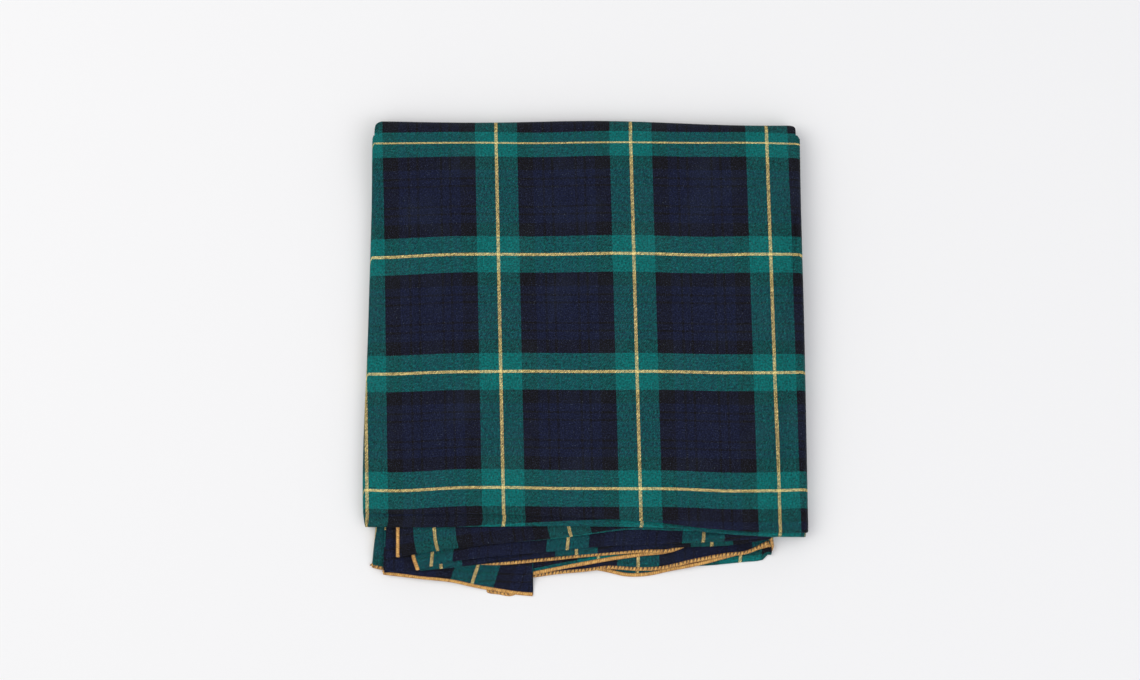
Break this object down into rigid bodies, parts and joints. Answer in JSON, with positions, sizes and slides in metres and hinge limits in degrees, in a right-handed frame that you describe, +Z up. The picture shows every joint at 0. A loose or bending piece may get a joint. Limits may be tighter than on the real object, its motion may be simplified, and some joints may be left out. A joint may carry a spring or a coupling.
{
  "type": "folded neck square",
  "caption": "Large woven tartan neck square with a gold overlocked edge, folded into a flat packet whose upper half opens about the far fold.",
  "frame": {"origin": "middle of the packet's box, at the surface it lies on", "axes": "+X to the right along the far fold, +Y away from the fanned near edges towards the far fold, +Z up through the layers"},
  "size_m": [0.334, 0.356, 0.0189],
  "materials": {
    "cloth": "soft brushed twill, navy, black and green with a fine yellow line",
    "edging": "glossy gold overlock thread"
  },
  "bodies": {
    "lower_half": {"panel_09": "cloth", "panel_10": "cloth", "panel_11": "cloth", "panel_12": "cloth", "panel_13": "cloth", "panel_14": "cloth", "panel_15": "cloth", "panel_16": "cloth", "far_fold_01": "cloth", "far_fold_02": "cloth", "far_fold_03": "cloth", "far_fold_04": "cloth", "far_fold_05": "cloth", "far_fold_06": "cloth", "far_fold_07": "cloth", "far_fold_08": "cloth", "right_fold_13": "cloth", "right_fold_14": "cloth", "right_fold_15": "cloth", "right_fold_16": "cloth", "left_fold_15": "cloth", "left_fold_16": "cloth", "near_hem_09": "edging", "near_hem_10": "edging", "near_hem_11": "edging", "near_hem_12": "edging", "near_hem_13": "edging", "near_hem_14": "edging", "near_hem_15": "edging", "near_hem_16": "edging", "side_hem_09": "edging", "side_hem_10": "edging", "side_hem_11": "edging", "side_hem_12": "edging", "corner_flap": "cloth", "corner_flap_hem": "edging"},
    "upper_half": {"panel_01": "cloth", "panel_02": "cloth", "panel_03": "cloth", "panel_04": "cloth", "panel_05": "cloth", "panel_06": "cloth", "panel_07": "cloth", "panel_08": "cloth", "near_fold_01": "cloth", "near_fold_02": "cloth", "near_fold_03": "cloth", "near_fold_04": "cloth", "right_fold_01": "cloth", "right_fold_02": "cloth", "right_fold_03": "cloth", "right_fold_04": "cloth", "left_fold_01": "cloth", "left_fold_02": "cloth", "side_hem_05": "edging", "side_hem_06": "edging", "side_hem_07": "edging", "side_hem_08": "edging"}
  },
  "joints": [
    {"name": "far_fold_hinge", "type": "hinge", "parent": "lower_half", "child": "upper_half", "pos_m": [0, 0.16855, 0.00945], "axis": [-1, 0, 0], "range_deg": [0, 179], "deforming": ["far_fold_01", "far_fold_02", "far_fold_03", "far_fold_04", "far_fold_05", "far_fold_06", "far_fold_07", "far_fold_08"]}
  ]
}
